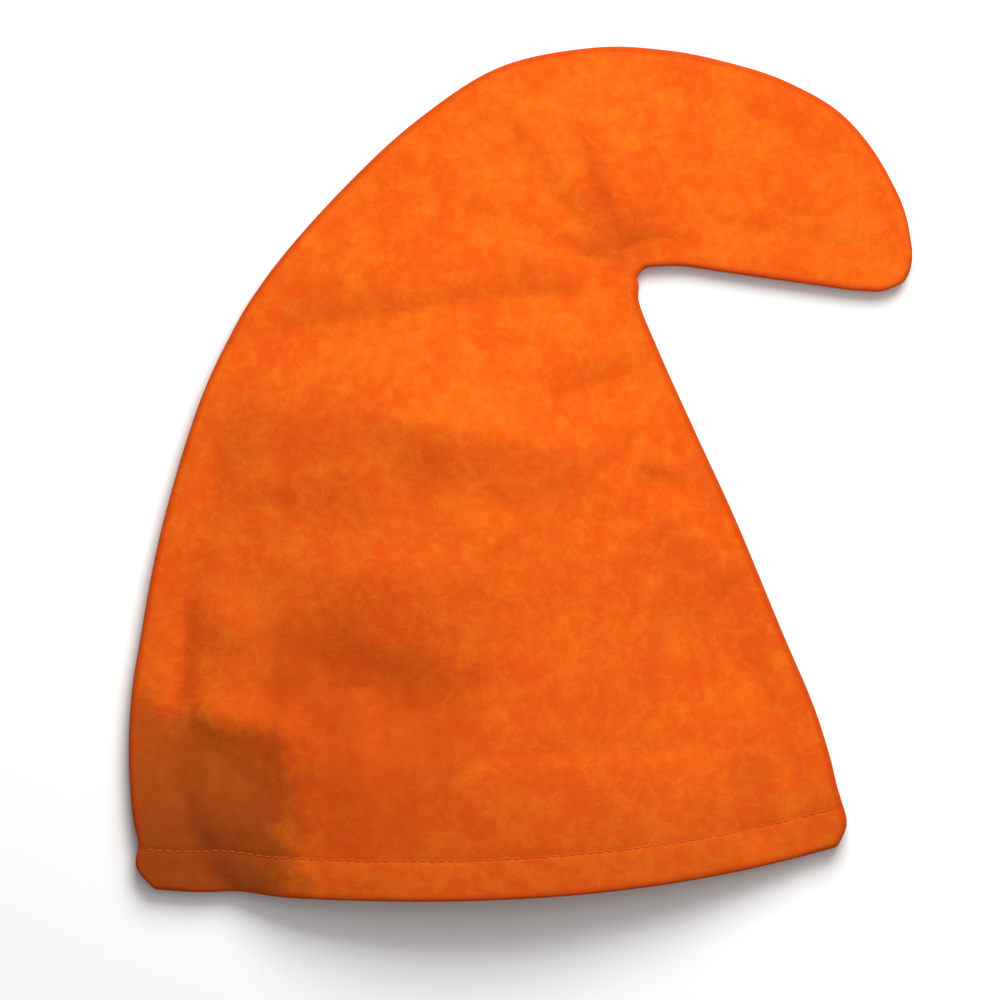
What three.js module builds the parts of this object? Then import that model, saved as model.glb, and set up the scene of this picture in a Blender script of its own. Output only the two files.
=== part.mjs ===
// A felt gnome hat, lying on its side as a soft hat lies on a table.
// Two shaped felt panels are sewn together along the back, over the crown and down the front, and turned
// right side out, so the seam margins lie inside. The head opening has a hem that is turned up inside.
//
// Millimetres. +X points forward, as the beak does, +Y points up the hat from the hem to the crown, and
// +Z points up from the table. The origin is on the table under the middle of the hat's bounding box.

import * as THREE from 'three';

// Outline of the sewn panels, laid flat. The inner corner is where the front edge meets the beak.
const BACK_RUN = 217.7; // farthest point of the back edge, behind the inner corner
const FRONT_RUN = 89.6; // farthest point of the rim, ahead of the inner corner
const BODY_HEIGHT = 263.3; // lowest point of the hem, below the inner corner
const CROWN_RISE = 99.9; // top of the crown, above the inner corner
const BEAK_REACH = 117.4; // tip of the beak, ahead of the inner corner
const CORNER_RADIUS = 6; // inside radius of the inner corner
const HEM_BOW = 13.2; // how far the hem curves below a straight line from end to end
const HEM_SKEW = 0.25; // how much of that curve moves towards the front
const HEM_WAVE = 1.6; // a small wave in the hem beside its back corner

// Felt and sewing.
const FELT = 1.6; // one layer of felt
const SEAM_MARGIN = 12; // felt turned inside along the seam
const HEM_DEPTH = 19.5; // felt turned up inside the head opening
const LAYER_GAP = 0.3; // between the two panels where they lie face to face
const EDGE_ROUND = 1.5; // how far a folded edge is rounded back from the outline

// How far the hat stands open, and how far the seams lift off the table.
const BODY_LOFT = 32; // rise of the upper panel above its seams, across the body
const BEAK_LOFT = 3; // the same across the beak
const SEAM_LIFT = 6; // highest lift of a seam off the table
const LIFT_REACH = 60; // how far in from a seam the lower panel comes down flat
const EDGE_CURL = 0.35; // share of the lift that the sewn edge loses again, as it curls down
const CURL_WIDTH = 5.5; // how far in from the edge that curl reaches
const GENTLE_RISE = 22; // width over which the upper panel starts to rise, in from its seams
const SHOULDER = 8; // width of the hollow just inside a seam margin
const SHOULDER_DEPTH = 0.4; // depth of that hollow
const EASE = 0.26; // how far that keeps the panel above the layers under it

// Faces across and along each panel.
const UPPER_ACROSS = 26;
const LOWER_ACROSS = 6;
const ALONG = 44;

const FELT_COLOUR = 0xf26a1e;

// Sections across the hat, each a line from the back edge to the front edge, in order from the hem.
// In the body x is a share of BACK_RUN behind the inner corner, or of FRONT_RUN ahead of it, and y is a
// share of BODY_HEIGHT below it. loft is a share of BODY_LOFT, lift gives the back and front seam's shares
// of SEAM_LIFT, and bow is a share of HEM_BOW.
const BODY_SECTIONS = [
  { name: 'hem fold', back: [-0.949, -0.99], front: [0.955, -0.92], loft: 0.78, lift: [0.2, 0.3], bow: 1 },
  { name: 'hem belly', back: [-0.987, -0.952], front: [1, -0.882], loft: 0.78, lift: [0.2, 0.3], bow: 1 },
  { name: 'stitch', back: [-0.982, -0.915], front: [0.975, -0.846], loft: 0.78, lift: [0.3, 0.4], bow: 1 },
  { name: 'above stitch', back: [-0.99, -0.886], front: [0.957, -0.826], loft: 0.8, lift: [0.4, 0.5], bow: 1 },
  { name: 'above hem', back: [-1, -0.799], front: [0.923, -0.778], loft: 0.86, lift: [0.5, 0.6], bow: 0.9 },
  { name: 'brow', back: [-0.996, -0.677], front: [0.837, -0.687], loft: 0.9, lift: [0.7, 0.7], bow: 0.7 },
  { name: 'low body', back: [-0.978, -0.58], front: [0.703, -0.58], loft: 0.94, lift: [0.8, 0.6], bow: 0.5 },
  { name: 'mid body', back: [-0.931, -0.385], front: [0.464, -0.385], loft: 1, lift: [0.9, 0.6], bow: 0.2 },
  { name: 'waist', back: [-0.858, -0.19], front: [0.266, -0.239], loft: 0.96, lift: [1, 0.8], bow: 0 },
  { name: 'low neck', back: [-0.803, -0.092], front: [0.098, -0.112], loft: 0.8, lift: [0.8, 0.7], bow: 0 },
  { name: 'throat', back: [-0.76, -0.03], front: [0.008, -0.036], loft: 0.72, lift: [0.75, 0.6], bow: 0 },
];

// Sections that fan out round the inner corner: turn is the angle round the centre of the corner's arc, in
// degrees. From here on y is a share of CROWN_RISE where it is above the inner corner.
const CORNER_SECTIONS = [
  { name: 'neck', back: [-0.707, 0.081], turn: 204, loft: 0.64, lift: [0.7, 0.5], bow: 0 },
  { name: 'nape', back: [-0.583, 0.387], turn: 178, loft: 0.5, lift: [0.6, 0.4], bow: 0 },
  { name: 'turn', back: [-0.431, 0.694], turn: 150, loft: 0.4, lift: [0.6, 0.4], bow: 0 },
  { name: 'crown', back: [-0.27, 0.918], turn: 120, loft: 0.33, lift: [0.6, 0.4], bow: 0 },
  { name: 'top', back: [-0.09, 1], turn: 88, loft: 0.28, lift: [0.6, 0.5], bow: 0 },
];

// Sections of the beak. x is a share of BEAK_REACH ahead of the inner corner, and loft of BEAK_LOFT.
const BEAK_SECTIONS = [
  { name: 'beak root', back: [0.095, 0.991], front: [0.157, 0.064], loft: 1, lift: [0.5, 0.6], bow: 0 },
  { name: 'beak', back: [0.321, 0.94], front: [0.303, 0.04], loft: 1, lift: [0.5, 0.7], bow: 0 },
  { name: 'beak mid', back: [0.558, 0.847], front: [0.485, 0.009], loft: 0.96, lift: [0.6, 0.8], bow: 0 },
  { name: 'fore', back: [0.763, 0.694], front: [0.668, -0.008], loft: 0.84, lift: [0.7, 0.8], bow: -0.05 },
  { name: 'tip in', back: [0.909, 0.46], front: [0.814, -0.016], loft: 0.55, lift: [0.8, 0.8], bow: -0.1 },
  { name: 'tip', back: [0.978, 0.268], front: [0.901, -0.015], loft: 0.2, lift: [0.8, 0.8], bow: -0.15 },
  { name: 'tip end', back: [0.999, 0.115], front: [0.967, -0.002], loft: 0, lift: [0.8, 0.8], bow: -0.1 },
];

// Folds and dents in the upper panel, each along a line between two points of the outline's shares. width is
// how far the fold reaches to each side, and rise its height in millimetres, below zero for a valley.
const FOLDS = [
  { name: 'packing ridge', from: [-0.8, -0.2], to: [-0.13, -0.255], width: 32, rise: 3 },
  { name: 'under the ridge', from: [-0.76, -0.36], to: [-0.15, -0.4], width: 34, rise: -1.6 },
  { name: 'crown valley', from: [-0.02, 0.09], to: [-0.125, 0.8], width: 17, rise: -3 },
  { name: 'nape valley', from: [-0.07, 0.06], to: [-0.31, 0.65], width: 19, rise: -2.4 },
  { name: 'neck valley', from: [-0.07, -0.015], to: [-0.74, -0.085], width: 21, rise: -2.4 },
  { name: 'corner crease', from: [0.04, -0.155], to: [-0.18, -0.215], width: 17, rise: -2.8 },
  { name: 'front crease', from: [-0.02, -0.295], to: [0.3, -0.32], width: 15, rise: -2 },
  { name: 'front valley', from: [0.13, -0.45], to: [0.49, -0.515], width: 19, rise: -2.6 },
  { name: 'middle bump', from: [-0.32, -0.37], to: [-0.2, -0.38], width: 32, rise: 1.6 },
  { name: 'brow dent', from: [-0.585, -0.66], to: [-0.467, -0.66], width: 42, rise: -3.4 },
  { name: 'back bump', from: [-0.81, -0.55], to: [-0.81, -0.69], width: 24, rise: 2.4 },
  { name: 'hem corner', from: [-0.93, -0.87], to: [-0.82, -0.78], width: 30, rise: -3 },
  { name: 'fallen corner', from: [-1.04, -0.96], to: [-0.84, -1.06], width: 52, rise: -8 },
  { name: 'hem dent', from: [0.54, -0.82], to: [0.575, -0.9], width: 15, rise: -2.4 },
  { name: 'front hem dent', from: [0.78, -0.79], to: [0.84, -0.9], width: 14, rise: -2 },
];

// A point in millimetres from the inner corner. reachAhead is what an x ahead of the corner is a share of.
function outlinePoint([x, y], reachAhead) {
  return new THREE.Vector2(x * (x < 0 ? BACK_RUN : reachAhead), y * (y < 0 ? BODY_HEIGHT : CROWN_RISE));
}

function cornerPoint(turn) {
  const angle = THREE.MathUtils.degToRad(turn);
  return new THREE.Vector2(CORNER_RADIUS * (1 + Math.cos(angle)), CORNER_RADIUS * Math.sin(angle));
}

// Every section with its two ends in millimetres and its distance along the middle of the hat from the hem.
function layOutSections() {
  const place = (row, frontEnd, fullLoft) => ({ ...row, frontEnd, loft: row.loft * fullLoft });
  const rows = [
    ...BODY_SECTIONS.map((row) => place(row, outlinePoint(row.front, FRONT_RUN), BODY_LOFT)),
    ...CORNER_SECTIONS.map((row) => place(row, cornerPoint(row.turn), BODY_LOFT)),
    ...BEAK_SECTIONS.map((row) => place(row, outlinePoint(row.front, BEAK_REACH), BEAK_LOFT)),
  ];
  const laid = [];
  for (const row of rows) {
    const backEnd = outlinePoint(row.back, BEAK_REACH);
    const middle = backEnd.clone().lerp(row.frontEnd, 0.5);
    const before = laid.at(-1);
    laid.push({
      middle,
      along: before ? before.along + middle.distanceTo(before.middle) : 0,
      backX: backEnd.x,
      backY: backEnd.y,
      frontX: row.frontEnd.x,
      frontY: row.frontEnd.y,
      loft: row.loft,
      backLift: row.lift[0] * SEAM_LIFT,
      frontLift: row.lift[1] * SEAM_LIFT,
      bow: row.bow * HEM_BOW,
    });
  }
  return laid;
}

const sections = layOutSections();
const HAT_LENGTH = sections.at(-1).along;
const CHANNELS = ['backX', 'backY', 'frontX', 'frontY', 'loft', 'backLift', 'frontLift', 'bow'];

// The slope of one channel at a section of the tables, from the sections beside it.
function slopeAt(index, channel) {
  const here = sections[index];
  const before = sections[index - 1];
  const after = sections[index + 1];
  const rise = (from, to) => (to[channel] - from[channel]) / (to.along - from.along);
  if (!before) return rise(here, after);
  if (!after) return rise(before, here);
  const left = here.along - before.along;
  const right = after.along - here.along;
  return (rise(before, here) * right + rise(here, after) * left) / (left + right);
}

// The section at any distance along the hat, on a smooth curve through the sections of the tables.
function sectionAt(along) {
  let index = 0;
  while (index < sections.length - 2 && sections[index + 1].along < along) index += 1;
  const from = sections[index];
  const to = sections[index + 1];
  const span = to.along - from.along;
  const t = (along - from.along) / span;
  const made = { along };
  for (const channel of CHANNELS) {
    made[channel] =
      from[channel] * (1 + 2 * t) * (1 - t) ** 2 +
      to[channel] * (3 - 2 * t) * t ** 2 +
      slopeAt(index, channel) * span * t * (1 - t) ** 2 -
      slopeAt(index + 1, channel) * span * (1 - t) * t ** 2;
  }
  made.width = Math.hypot(made.frontX - made.backX, made.frontY - made.backY);
  made.margin = Math.min(SEAM_MARGIN, made.width / 4);
  return made;
}

// The point of a section at a distance in from the back edge. The bow pushes the middle towards the hem.
function planPoint(section, fromBack) {
  const share = fromBack / section.width;
  const curve = 4 * share * (1 - share) * (1 + HEM_SKEW * (2 * share - 1));
  const wave = (HEM_WAVE / HEM_BOW) * Math.exp(-(((share - 0.125) / 0.04) ** 2));
  const bow = section.bow * (curve - wave);
  const alongX = (section.frontX - section.backX) / section.width;
  const alongY = (section.frontY - section.backY) / section.width;
  return new THREE.Vector2(
    section.backX + alongX * fromBack + alongY * bow,
    section.backY + alongY * fromBack - alongX * bow,
  );
}

// How much of the hem's thickness still holds the panels apart, from 1 on the hem to 0 well above it.
function hemLift(section) {
  return 1 - THREE.MathUtils.smoothstep(section.along, HEM_DEPTH, 4 * HEM_DEPTH);
}

// How many layers of felt a panel has at a point: one, one more for the seam margin or the felt turned in
// at the tip, and one more for the hem. Above the hem the margin is looser and fills the room between the panels.
function layersAt(section, fromBack) {
  const fromSeam = Math.min(fromBack, section.width - fromBack);
  const onMargin = fromSeam <= section.margin + LAYER_GAP;
  const onTip = HAT_LENGTH - section.along <= SEAM_MARGIN + LAYER_GAP;
  const onHem = section.along <= HEM_DEPTH + LAYER_GAP;
  const loose = onMargin && !onHem ? hemLift(section) : 0;
  return 1 + (onMargin || onTip ? 1 : 0) + (onHem ? 1 : 0) + loose;
}

// Height of the lower panel's underside over the table: flat in the middle and lifted at the seams.
function undersideAt(section, fromBack) {
  const curl = (fromSeam) => EDGE_CURL * Math.exp(-((fromSeam / CURL_WIDTH) ** 2));
  const lifted = (fromSeam) => Math.max(0, 1 - fromSeam / LIFT_REACH) ** 2 - curl(fromSeam);
  const backShare = (1 - fromBack / section.width) * lifted(fromBack);
  const frontShare = (fromBack / section.width) * lifted(section.width - fromBack);
  return section.backLift * backShare + section.frontLift * frontShare;
}

// Height that the folds of the table add at a point of the upper panel.
function foldsAt(plan) {
  let height = 0;
  for (const fold of FOLDS) {
    const ends = [fold.from, fold.to];
    const [from, to] = ends.map((end) => outlinePoint(end, end[1] < 0 ? FRONT_RUN : BEAK_REACH));
    const run = to.clone().sub(from);
    const share = THREE.MathUtils.clamp(plan.clone().sub(from).dot(run) / run.lengthSq(), 0, 1);
    const away = plan.distanceTo(from.addScaledVector(run, share)) / fold.width;
    if (away < 1) height += fold.rise * Math.cos((Math.PI / 2) * away) ** 2;
  }
  return height;
}

// Height of the upper panel's outer face over the table.
function topAt(section, fromBack) {
  const stack = 4 * FELT + 2 * FELT * hemLift(section) + LAYER_GAP;
  const open = section.width - 2 * section.margin;
  const inside = THREE.MathUtils.clamp(fromBack - section.margin, 0, open);
  const fromMargin = Math.min(inside, open - inside);
  const shoulder = Math.min(SHOULDER, 0.22 * open);
  // The panel starts to rise a little inside the seam, and gently.
  const lead = 0.3 * section.margin;
  const span = section.width - 2 * lead;
  const pastSeam = THREE.MathUtils.clamp(fromBack - lead, 0, span);
  const rise = Math.sin((Math.PI * pastSeam) / span);
  const gentle = 0.35 + 0.65 * THREE.MathUtils.smoothstep(Math.min(pastSeam, span - pastSeam), 0, GENTLE_RISE);
  const dome = Math.max(0, section.loft) * rise * (0.55 + 0.45 * rise) * gentle;
  const beforeTip = THREE.MathUtils.smoothstep(HAT_LENGTH - section.along, SEAM_MARGIN, 3 * SEAM_MARGIN);
  const hollow = SHOULDER_DEPTH * Math.sin(Math.PI * Math.min(1, fromMargin / (2 * shoulder))) ** 2;
  const offSeam = THREE.MathUtils.smoothstep(fromMargin, 0, 1.5 * shoulder);
  const folds = foldsAt(planPoint(section, fromBack)) * offSeam;
  // A deep fold eases off just above the layers under it, and the panel never sinks into them.
  const loose = dome + (folds - hollow) * beforeTip;
  const eased = loose > 1 ? loose : Math.exp(loose - 1);
  return undersideAt(section, fromBack) + stack + eased - EASE;
}

// Distances of a panel's columns from the back edge: close together over the margins, even between them.
function columnsOf(section, across) {
  const { width, margin } = section;
  const round = Math.min(EDGE_ROUND, margin / 3);
  const open = width - 2 * margin;
  const step = margin + Math.min(FELT / 2, 0.1 * open);
  const shoulder = margin + Math.min(SHOULDER, 0.22 * open);
  const edge = [round, (round + margin) / 2, margin, step, shoulder];
  const pitch = (width - 2 * shoulder) / across;
  const between = Array.from({ length: across - 1 }, (_, i) => shoulder + pitch * (i + 1));
  return [...edge, ...between, ...edge.map((fromSeam) => width - fromSeam).reverse()];
}

// Distances of the rows from the hem: close together over the hem and the tip, even between them.
function rowsOf() {
  const hem = [EDGE_ROUND, HEM_DEPTH / 2, HEM_DEPTH, HEM_DEPTH + FELT / 2];
  const fromTip = [SEAM_MARGIN + FELT / 2, SEAM_MARGIN, SEAM_MARGIN / 2, EDGE_ROUND];
  const tip = fromTip.map((distance) => HAT_LENGTH - distance);
  const pitch = (tip[0] - hem.at(-1)) / ALONG;
  const between = Array.from({ length: ALONG - 1 }, (_, i) => hem.at(-1) + pitch * (i + 1));
  return [...hem, ...between, ...tip];
}

// One felt panel: an outer and an inner face over the hat's plan, and a rounded edge all the way round.
// faceHeights gives the heights of the panel's lower and upper face at a point.
function panelGeometry(across, faceHeights) {
  const rows = rowsOf();
  const lastRow = rows.length - 1;
  const lastColumn = columnsOf(sectionAt(0), across).length - 1;
  const points = [];
  const index = [];

  // Adds a point of the panel and gives back its number. level is 0 on the lower face and 1 on the upper.
  function addPoint(section, fromBack, level) {
    const plan = planPoint(section, fromBack);
    const [low, high] = faceHeights(section, fromBack);
    points.push(new THREE.Vector3(plan.x, plan.y, THREE.MathUtils.lerp(low, high, level)));
    return points.length - 1;
  }

  const low = [];
  const high = [];
  rows.forEach((along) => {
    const section = sectionAt(along);
    const columns = columnsOf(section, across);
    low.push(columns.map((fromBack) => addPoint(section, fromBack, 0)));
    high.push(columns.map((fromBack) => addPoint(section, fromBack, 1)));
  });

  // Both faces, each four-sided patch split along its shorter diagonal in plan.
  for (let row = 0; row < lastRow; row += 1) {
    for (let column = 0; column < lastColumn; column += 1) {
      const corners = [[row, column], [row, column + 1], [row + 1, column + 1], [row + 1, column]];
      const [a, b, c, d] = corners.map(([i, j]) => points[low[i][j]]);
      const splitAC = Math.hypot(a.x - c.x, a.y - c.y) < Math.hypot(b.x - d.x, b.y - d.y);
      const halves = splitAC ? [[0, 1, 2], [0, 2, 3]] : [[0, 1, 3], [1, 2, 3]];
      for (const half of halves) {
        const [p, q, r] = half.map((corner) => corners[corner]);
        index.push(high[p[0]][p[1]], high[q[0]][q[1]], high[r[0]][r[1]]);
        index.push(low[p[0]][p[1]], low[r[0]][r[1]], low[q[0]][q[1]]);
      }
    }
  }

  // The edge of the panel, walked once round with the panel on the left.
  const loop = [];
  for (let column = 0; column < lastColumn; column += 1) loop.push([0, column]);
  for (let row = 0; row < lastRow; row += 1) loop.push([row, lastColumn]);
  for (let column = lastColumn; column > 0; column -= 1) loop.push([lastRow, column]);
  for (let row = lastRow; row > 0; row -= 1) loop.push([row, 0]);
  const rim = loop.map(([row, column]) => {
    const onEnd = row === 0 ? 0 : HAT_LENGTH;
    const section = sectionAt(row === 0 || row === lastRow ? onEnd : rows[row]);
    const onSeam = column === 0 ? 0 : section.width;
    const onEdge = column === 0 || column === lastColumn;
    return addPoint(section, onEdge ? onSeam : columnsOf(section, across)[column], 0.5);
  });
  loop.forEach(([row, column], i) => {
    const next = (i + 1) % loop.length;
    const [nextRow, nextColumn] = loop[next];
    const [lowHere, highHere] = [low[row][column], high[row][column]];
    const [lowNext, highNext] = [low[nextRow][nextColumn], high[nextRow][nextColumn]];
    index.push(lowHere, lowNext, rim[next], lowHere, rim[next], rim[i]);
    index.push(rim[i], rim[next], highNext, rim[i], highNext, highHere);
  });

  const geometry = new THREE.BufferGeometry().setFromPoints(points);
  geometry.setIndex(index);
  geometry.computeVertexNormals();
  return geometry;
}

function upperFaces(section, fromBack) {
  const top = topAt(section, fromBack);
  return [top - FELT * layersAt(section, fromBack), top];
}

function lowerFaces(section, fromBack) {
  const underside = undersideAt(section, fromBack);
  return [underside, underside + FELT * layersAt(section, fromBack)];
}

function feltPanel(name, geometry) {
  const felt = new THREE.MeshStandardMaterial({ color: FELT_COLOUR, roughness: 0.95, metalness: 0 });
  const panel = new THREE.Mesh(geometry, felt);
  panel.name = name;
  return panel;
}

const hat = new THREE.Group();
hat.name = 'gnome_hat';
hat.add(feltPanel('right_side_panel', panelGeometry(UPPER_ACROSS, upperFaces)));
hat.add(feltPanel('left_side_panel', panelGeometry(LOWER_ACROSS, lowerFaces)));

// Bring the middle of the bounding box over the origin, with the underside on the table.
const bounds = new THREE.Box3().setFromObject(hat);
const centre = bounds.getCenter(new THREE.Vector3());
hat.position.set(-centre.x, -centre.y, -bounds.min.z);

export default hat;
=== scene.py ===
"""Builds the look of a felt gnome hat that lies on its side, and the pale stage round it."""

import math

import bmesh
import bpy
import numpy as np
from mathutils import Matrix, Vector, noise


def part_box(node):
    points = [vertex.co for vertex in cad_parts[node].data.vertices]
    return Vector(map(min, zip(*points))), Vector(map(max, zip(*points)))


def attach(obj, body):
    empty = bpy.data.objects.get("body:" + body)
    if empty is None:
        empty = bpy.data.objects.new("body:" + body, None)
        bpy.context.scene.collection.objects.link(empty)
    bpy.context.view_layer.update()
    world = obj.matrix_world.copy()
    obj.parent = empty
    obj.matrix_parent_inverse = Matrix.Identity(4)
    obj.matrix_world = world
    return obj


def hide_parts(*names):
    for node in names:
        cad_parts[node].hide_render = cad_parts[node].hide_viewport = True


bl_info = {
    "name": "Felt gnome hat",
    "version": (1, 0, 0),
    "blender": (4, 5, 0),
    "location": "3D View > Sidebar > Gnome hat",
    "description": "Builds a felt gnome hat lying on its side",
    "category": "Object",
}

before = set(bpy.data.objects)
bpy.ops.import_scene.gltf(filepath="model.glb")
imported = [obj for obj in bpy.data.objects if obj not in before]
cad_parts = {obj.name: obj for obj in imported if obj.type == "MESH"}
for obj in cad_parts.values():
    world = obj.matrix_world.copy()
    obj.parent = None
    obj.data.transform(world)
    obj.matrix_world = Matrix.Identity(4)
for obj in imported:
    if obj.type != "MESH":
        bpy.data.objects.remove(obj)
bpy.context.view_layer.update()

UPPER_NODE = "right_side_panel"
LOWER_NODE = "left_side_panel"
BODY = "root"
EDGE_ATTRIBUTE = "from_edge_mm"
MM = 0.001

# Sizes of the outline in millimetres, measured from the inner corner, where the front edge meets the
# beak.
BACK_RUN = 217.7
FRONT_RUN = 89.6
BODY_HEIGHT = 263.3
CROWN_RISE = 99.9
BEAK_REACH = 117.4
CORNER_RADIUS = 6.0
HEM_BOW = 13.2
HEM_SKEW = 0.25
HEM_WAVE = 1.6
SEAM_LIFT = 6.0
LIFT_REACH = 60.0
EASE = 0.26
EDGE_CURL = 0.35
CURL_WIDTH = 5.5
GENTLE_RISE = 22.0  # the dome starts gently over this distance from a seam
TIP_RISE = 36.0  # and reaches its height this far from the tip
SEAM_INSET = 1.9  # the seam's thread lies this far in from the edge

# Grid of a felt panel, in millimetres and in columns.
FINE_ROWS = [4.4, 5.4, 7.0, 9.0, 11.0, 13.0, 14.6, 15.8, 16.6, 17.2, 17.8, 18.4, 19.2, 20.4, 22.0]
TIP_START = 4.0
ROW_PITCH = 2.35
OPEN_COLUMNS = 118
TRIMMED_COLUMNS = 8

# Sections across the hat, from the hem up. Ends are shares of the sizes above, and turn is an angle round
# the inner corner's own centre. loft and the two seams' lifts are shares too.
#   name, back end, front end or turn, loft, back lift, front lift, bow
BODY_SECTIONS = [
    ("hem fold", (-0.949, -0.99), (0.955, -0.92), 0.78, 0.2, 0.3, 1.0),
    ("hem belly", (-0.987, -0.952), (1.0, -0.882), 0.78, 0.2, 0.3, 1.0),
    ("stitch", (-0.982, -0.915), (0.975, -0.846), 0.78, 0.3, 0.4, 1.0),
    ("above stitch", (-0.99, -0.886), (0.957, -0.826), 0.8, 0.4, 0.5, 1.0),
    ("above hem", (-1.0, -0.799), (0.923, -0.778), 0.86, 0.5, 0.6, 0.9),
    ("brow", (-0.996, -0.677), (0.837, -0.687), 0.9, 0.7, 0.7, 0.7),
    ("low body", (-0.978, -0.58), (0.703, -0.58), 0.94, 0.8, 0.6, 0.5),
    ("mid body", (-0.931, -0.385), (0.464, -0.385), 1.0, 0.9, 0.6, 0.2),
    ("waist", (-0.858, -0.19), (0.266, -0.239), 0.96, 1.0, 0.8, 0.0),
    ("low neck", (-0.803, -0.092), (0.098, -0.112), 0.8, 0.8, 0.7, 0.0),
    ("throat", (-0.76, -0.03), (0.008, -0.036), 0.72, 0.75, 0.6, 0.0),
]
CORNER_SECTIONS = [
    ("neck", (-0.707, 0.081), 204.0, 0.64, 0.7, 0.5, 0.0),
    ("nape", (-0.583, 0.387), 178.0, 0.5, 0.6, 0.4, 0.0),
    ("turn", (-0.431, 0.694), 150.0, 0.4, 0.6, 0.4, 0.0),
    ("crown", (-0.27, 0.918), 120.0, 0.33, 0.6, 0.4, 0.0),
    ("top", (-0.09, 1.0), 88.0, 0.28, 0.6, 0.5, 0.0),
]
BEAK_SECTIONS = [
    ("beak root", (0.095, 0.991), (0.157, 0.064), 1.0, 0.5, 0.6, 0.0),
    ("beak", (0.321, 0.94), (0.303, 0.04), 1.0, 0.5, 0.7, 0.0),
    ("beak mid", (0.558, 0.847), (0.485, 0.009), 0.96, 0.6, 0.8, 0.0),
    ("fore", (0.763, 0.694), (0.668, -0.008), 0.84, 0.7, 0.8, -0.05),
    ("tip in", (0.909, 0.46), (0.814, -0.016), 0.55, 0.8, 0.8, -0.1),
    ("tip", (0.978, 0.268), (0.901, -0.015), 0.2, 0.8, 0.8, -0.15),
    ("tip end", (0.999, 0.115), (0.967, -0.002), 0.0, 0.8, 0.8, -0.1),
]

# Folds and dents of the upper panel, each along a line between two points in the outline's shares.
#   name, from, to, reach to each side in mm, rise in mm
FOLDS = [
    ("packing ridge", (-0.8, -0.2), (-0.13, -0.255), 32, 3.0),
    ("under the ridge", (-0.76, -0.36), (-0.15, -0.4), 34, -1.6),
    ("crown valley", (-0.02, 0.09), (-0.125, 0.8), 17, -2.0),
    ("nape valley", (-0.07, 0.06), (-0.31, 0.65), 19, -2.4),
    ("neck valley", (-0.07, -0.015), (-0.74, -0.085), 21, -2.4),
    ("corner crease", (0.04, -0.155), (-0.18, -0.215), 17, -2.8),
    ("front crease", (-0.02, -0.295), (0.3, -0.32), 15, -2.0),
    ("front valley", (0.13, -0.45), (0.49, -0.515), 19, -0.8),
    ("middle bump", (-0.32, -0.37), (-0.2, -0.38), 32, 1.6),
    ("brow dent", (-0.585, -0.66), (-0.467, -0.66), 42, -3.4),
    ("back bump", (-0.81, -0.55), (-0.81, -0.69), 24, 2.4),
    ("hem corner", (-0.93, -0.87), (-0.82, -0.78), 30, -3.0),
    ("fallen corner", (-1.04, -0.96), (-0.84, -1.06), 52, -8.0),
    ("hem dent", (0.54, -0.82), (0.575, -0.9), 15, -2.4),
    ("front hem dent", (0.78, -0.79), (0.84, -0.9), 14, -2.0),
]
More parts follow.
